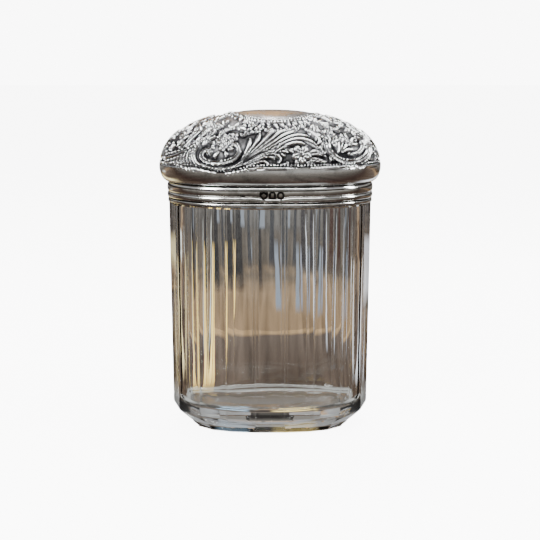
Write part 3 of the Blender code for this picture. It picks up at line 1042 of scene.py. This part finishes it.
def lay_table():
    """A brown table top that only the glass and the metal see: two streaked ramps from front to back."""
    table = stage_plane("table_card", (6, 6), (0, 0, -0.0005))
    tree, shader = glow(table, "brown_table", Emission_Strength=1)
    place = add_node(tree, "TexCoord")
    split = add_node(tree, "SeparateXYZ", {"Vector": (place, "Object")})
    grain = add_node(tree, "TexNoise", {"Vector": (place, "Object")}, Scale=14.0, Detail=2.0)
    sway = add_node(tree, "MapRange", {"Value": (grain, "Fac")},
                    From_Min=0.3, From_Max=0.7, To_Min=-0.035, To_Max=0.035)
    far = add_node(tree, "Math", {0: (split, "Y"), 1: (sway, "Result")}, operation="ADD")
    depth = add_node(tree, "MapRange", {"Value": (far, "Value")}, From_Min=0.0, From_Max=0.6)
    back = add_node(tree, "ValToRGB", {"Fac": (depth, "Result")})
    set_ramp(back, (0.3, "#b99b7a"), (0.4, "#c2a585"), (0.5, "#776b5f"),
                    (0.75, "#6a6664"), (1.0, "#96938f"))
    near = add_node(tree, "MapRange", {"Value": (split, "Y")}, From_Min=-0.6, From_Max=TABLE_EDGE)
    front = add_node(tree, "ValToRGB", {"Fac": (near, "Result")})
    set_ramp(front, (0.0, "#c9c8c4"), (0.4, "#98928b"), (0.6, "#6a655f"),
                     (0.74, "#473630"), (0.81, "#65564a"), (0.985, "#82746a"),
                     (0.992, "#dcb88c"))
    past = add_node(tree, "Math", {0: (split, "Y")}, operation="GREATER_THAN")
    past.inputs[1].default_value = TABLE_EDGE
    both = add_node(tree, "MixRGB", {"Fac": (past, "Value"), "Color1": (front, "Color"),
                                     "Color2": (back, "Color")})
    drawn = add_node(tree, "Mapping", {"Vector": (place, "Object")}, Scale=(60, 5, 1))
    streaks = add_node(tree, "TexNoise", {"Vector": (drawn, "Vector")}, Scale=1.0, Detail=2.0)
    shade = add_node(tree, "MapRange", {"Value": (streaks, "Fac")},
                     From_Min=0.3, From_Max=0.7, To_Min=0.45, To_Max=1.5)
    streaked = add_node(tree, "VectorMath", {0: (both, "Color"), 1: (shade, "Result")}, operation="MULTIPLY")
    tree.links.new(streaked.outputs["Vector"], shader.inputs["Emission Color"])


def soften_edge(tree, shader):
    """Fades a card out towards its edges."""
    place = add_node(tree, "TexCoord")
    middle = add_node(tree, "VectorMath", {0: (place, "Generated")}, operation="SUBTRACT")
    middle.inputs[1].default_value = (0.5, 0.5, 0)
    away = add_node(tree, "VectorMath", {0: (middle, "Vector")}, operation="ABSOLUTE")
    split = add_node(tree, "SeparateXYZ", {"Vector": (away, "Vector")})
    edge = add_node(tree, "Math", {0: (split, "X"), 1: (split, "Y")}, operation="MAXIMUM")
    fade = add_node(tree, "MapRange", {"Value": (edge, "Value")},
                    From_Min=0.5, From_Max=0.34, To_Min=0.0, To_Max=1.0)
    tree.links.new(fade.outputs["Result"], shader.inputs["Alpha"])


def lay_cards():
    """Plain cards round the jar, which only the glass and the metal see."""
    # name, size, place, turn and tilt in degrees, colour, strength
    cards = (
        ("dark_card_a", (0.032, 0.34), (-0.0345, 0.40, 0.001), 3, 0, "#222228", 1),
        ("dark_card_b", (0.012, 0.28), (0.0066, 0.42, 0.001), -1, 0, "#3b3e46", 1),
        ("dark_card_c", (0.020, 0.30), (0.040, 0.42, 0.001), -3, 0, "#312e36", 1),
        ("dark_card_d", (0.008, 0.26), (-0.061, 0.45, 0.001), 5, 0, "#2f2a29", 1),
        ("dark_card_e", (0.008, 0.30), (0.054, 0.42, 0.001), -4.5, 0, "#382c2b", 1),
        ("blue_card_a", (0.018, 0.13), (-0.0199, 0.475, 0.002), 1, 0, "#a4adbb", 1),
        ("blue_card_b", (0.010, 0.19), (0.0138, 0.27, 0.002), -1, 0, "#a7b4c6", 1.1),
        ("blue_card_c", (0.006, 0.18), (0.0244, 0.27, 0.002), -2, 0, "#b3b9cb", 1.1),
        ("yellow_card_a", (0.005, 0.36), (-0.0395, 0.19, 0.003), 4.6, 0, "#ffdd84", 3.4),
        ("yellow_card_b", (0.004, 0.36), (-0.0335, 0.19, 0.003), 4.0, 0, "#f8d27a", 3.0),
        ("pale_card_a", (0.004, 0.36), (0.0435, 0.275, 0.003), -4.4, 0, "#e3e8f2", 2.2),
        ("pale_card_b", (0.005, 0.36), (-0.056, 0.275, 0.003), 5.7, 0, "#dfe5e2", 1.9),
        ("pale_card_c", (0.10, 0.12), (-0.33, 0.22, 0.002), 0, 0, "#dfe4e0", 2),
        ("cream_card", (0.05, 0.3), (-0.15, 0.16, 0.002), 20, 0, "#f0dfa8", 2.5),
        ("white_card", (0.04, 0.3), (0.13, 0.16, 0.002), -20, 0, "#e6eaf0", 2.5),
        ("brown_card_a", (0.05, 0.3), (0.10, 0.42, 0.002), -10, 0, "#472c25", 1),
        ("brown_card_b", (0.26, 0.08), (0.36, 0.24, 0.002), 0, 0, "#3f2620", 1),
        ("warm_wall", (0.5, 0.7), (-0.14, 0.6, 0.62), 0, 90, "#e2b27c", 2.0),
        ("pale_mat", (0.100, 0.070), (0, 0, 0), 0, 0, "#c8cac8", 1.3),
        ("dark_mat", (0.066, 0.041), (0, 0.003, 0.00002), 0, 0, "#3c3733", 1),
        ("taupe_mat", (0.056, 0.031), (0, 0.006, 0.00004), 0, 0, "#847a70", 1),
        ("blue_spot", (0.012, 0.008), (-0.012, -0.0105, 0.00006), 0, 0, "#a9c6dd", 1.8),
        ("yellow_spot", (0.016, 0.008), (0.008, -0.0105, 0.00006), 0, 0, "#f2d98f", 2.2),
    )
    for name, size, place, turn, tilt, code, strength in cards:
        card = stage_plane(name, size, place, turn, tilt)
        tree, shader = glow(card, name + "_paper", Emission_Color=linear(code), Emission_Strength=strength)
        soften_edge(tree, shader)


def light_room():
    """White behind the jar to the camera, a plain grey-brown room to everything else."""
    world = bpy.context.scene.world or bpy.data.worlds.new("world")
    bpy.context.scene.world = world
    world.use_nodes = True
    tree = world.node_tree
    place = add_node(tree, "TexCoord")
    split = add_node(tree, "SeparateXYZ", {"Vector": (place, "Generated")})
    room = add_node(tree, "ValToRGB", {"Fac": (split, "Z")})
    set_ramp(room, (0.0, "#5a4c43"), (0.06, "#151312"), (0.14, "#151312"),
                    (0.22, "#8f8a84"), (0.4, "#cdd1d6"), (0.55, "#86858a"),
                    (0.8, "#6f6b67"), (1.0, "#b5aa9c"))
    seen = add_node(tree, "LightPath")
    pick = add_node(tree, "MixRGB", {"Fac": (seen, "Is Camera Ray"), "Color1": (room, "Color")},
                    Color2=(9, 9, 9, 1))
    background = tree.nodes["Background"]
    tree.links.new(pick.outputs["Color"], background.inputs["Color"])
    background.inputs["Strength"].default_value = 1.0


def softbox(name, place, size, power):
    light = bpy.data.lights.new(name, "AREA")
    light.shape = "RECTANGLE"
    light.size, light.size_y = size
    light.energy = power
    lamp = bpy.data.objects.new(name, light)
    lamp.location = place
    lamp.rotation_euler = (Vector(JAR_MIDDLE) - Vector(place)).to_track_quat("-Z", "Y").to_euler()
    bpy.context.scene.collection.objects.link(lamp)


set_camera()
lay_floor()
lay_table()
lay_cards()
light_room()
softbox("overhead", (0.05, 0.1, 0.5), (0.4, 0.12), 3.2)
softbox("window", (-0.4, -0.4, 0.4), (0.16, 0.3), 4)
softbox("front", (0.05, -0.55, 0.62), (0.8, 0.12), 4.5)
softbox("side", (0.5, -0.15, 0.3), (0.1, 0.3), 2.5)
